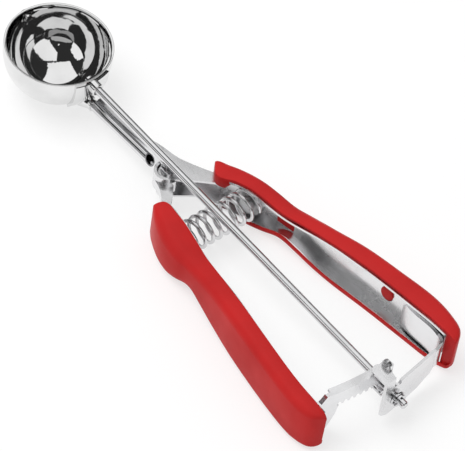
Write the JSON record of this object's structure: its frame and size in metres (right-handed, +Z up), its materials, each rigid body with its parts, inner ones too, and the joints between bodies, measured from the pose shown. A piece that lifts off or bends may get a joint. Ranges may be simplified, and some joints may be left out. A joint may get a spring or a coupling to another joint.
{
  "type": "lever ice cream scoop",
  "caption": "Ice cream scoop with a hemispherical bowl, a wiper blade, a long spindle and two sleeved squeeze handles that drive it through a rack and pinion.",
  "frame": {"origin": "on the resting plane, under the middle of the tool's box", "axes": "+X from the bowl to the handles' tail, +Y towards the fixed handle, +Z up; the bowl opens upwards"},
  "size_m": [0.2211, 0.076, 0.0265],
  "materials": {
    "polished_steel": "mirror polish",
    "bright_rod": "bright drawn",
    "spring_steel": "bright wire",
    "stamped_steel": "satin stamped sheet",
    "seat_steel": "satin",
    "red_sleeve": "satin moulded"
  },
  "bodies": {
    "frame": {"bowl": "polished_steel", "bowl_saddle": "polished_steel", "neck_tube": "bright_rod", "fixed_handle": "stamped_steel", "fixed_sleeve": "red_sleeve", "hinge_pin": "bright_rod", "hinge_washer": "bright_rod", "front_pivot_rivet": "polished_steel", "rear_bearing": "polished_steel", "bracket": "stamped_steel", "spring": "spring_steel", "spring_seat_fixed": "seat_steel"},
    "lever": {"lever_handle": "stamped_steel", "lever_sleeve": "red_sleeve", "rack": "stamped_steel", "spring_seat_lever": "seat_steel"},
    "spindle": {"spindle": "bright_rod", "wiper": "polished_steel", "pinion": "bright_rod", "tail_washer": "bright_rod", "tail_clip": "bright_rod"}
  },
  "joints": [
    {"name": "lever_hinge", "type": "hinge", "parent": "frame", "child": "lever", "pos_m": [-0.0215, -0.0011, 0.0104], "axis": [0, 0, 1], "range_deg": [0, 4.6], "stiffness_Nm_per_rad": 2, "springref_deg": -3.44, "deforming": ["spring"]},
    {"name": "spindle_turn", "type": "hinge", "parent": "frame", "child": "spindle", "pos_m": [-0.0885, 0, 0.0212], "axis": [0.9983, 0, -0.0576], "range_deg": [-172, 2]}
  ],
  "couplings": [
    {"joint": "spindle_turn", "follows": "lever_hinge", "ratio": -36.364}
  ]
}
